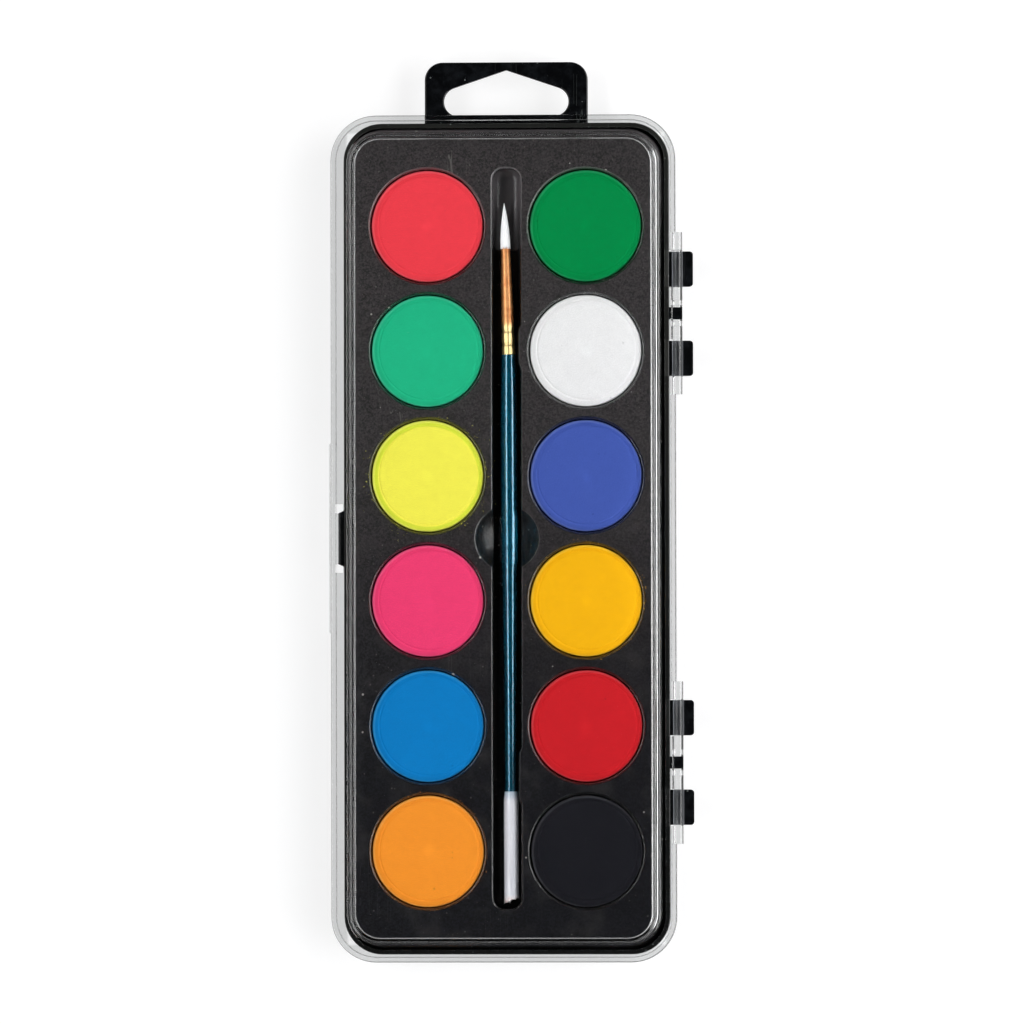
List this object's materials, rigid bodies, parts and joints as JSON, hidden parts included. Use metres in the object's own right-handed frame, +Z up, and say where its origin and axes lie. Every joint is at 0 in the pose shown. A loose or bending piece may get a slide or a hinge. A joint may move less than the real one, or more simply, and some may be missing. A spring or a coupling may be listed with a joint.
{
  "type": "watercolour paint set",
  "caption": "Slim paint box with a clear hinged lid, a hang tab, round pressed paint tablets in a palette insert and a brush in a central channel.",
  "frame": {"origin": "centre of the case's underside, not counting the hang tab", "axes": "+Z up through the lid, +Y along the case towards the hang tab, +X towards the hinge side"},
  "size_m": [0.0957, 0.237, 0.015],
  "materials": {
    "case_black": "glossy black moulding",
    "insert_charcoal": "fine matte grain, slightly dusty",
    "lid_clear": "clear, polished",
    "glue": "dried adhesive",
    "handle_blue": "metallic blue lacquer",
    "ferrule_copper": "copper-gold, rolled grooves",
    "bristle_white": "fine synthetic hair",
    "sleeve_pale": "pale translucent sleeve",
    "paint_coral_red": "pressed pigment, dry and powdery",
    "paint_mid_green": "pressed pigment, dry and powdery",
    "paint_lemon_yellow": "pressed pigment, dry and powdery",
    "paint_pink": "pressed pigment, dry and powdery",
    "paint_blue": "pressed pigment, dry and powdery",
    "paint_orange": "pressed pigment, dry and powdery",
    "paint_dark_green": "pressed pigment, dry and powdery",
    "paint_white": "pressed pigment, dry and powdery",
    "paint_violet_blue": "pressed pigment, dry and powdery",
    "paint_golden_yellow": "pressed pigment, dry and powdery",
    "paint_crimson": "pressed pigment, dry and powdery",
    "paint_black": "pressed pigment, dry and powdery"
  },
  "bodies": {
    "case": {"case": "case_black", "palette_insert": "insert_charcoal", "tablet_glue": "glue", "paint_coral_red": "paint_coral_red", "paint_mid_green": "paint_mid_green", "paint_lemon_yellow": "paint_lemon_yellow", "paint_pink": "paint_pink", "paint_blue": "paint_blue", "paint_orange": "paint_orange", "paint_dark_green": "paint_dark_green", "paint_white": "paint_white", "paint_violet_blue": "paint_violet_blue", "paint_golden_yellow": "paint_golden_yellow", "paint_crimson": "paint_crimson", "paint_black": "paint_black"},
    "lid": {"lid": "lid_clear"},
    "brush": {"brush_handle": "handle_blue", "brush_ferrule": "ferrule_copper", "brush_bristles": "bristle_white", "brush_end_sleeve": "sleeve_pale"}
  },
  "joints": [
    {"name": "lid_hinge", "type": "hinge", "parent": "case", "child": "lid", "pos_m": [0.045, 0, 0.00755], "axis": [0, 1, 0], "range_deg": [0, 180]},
    {"name": "brush_slide", "type": "slide", "parent": "case", "child": "brush", "axis": [0, 1, 0], "range_m": [-0.0005, 0.0081]}
  ]
}
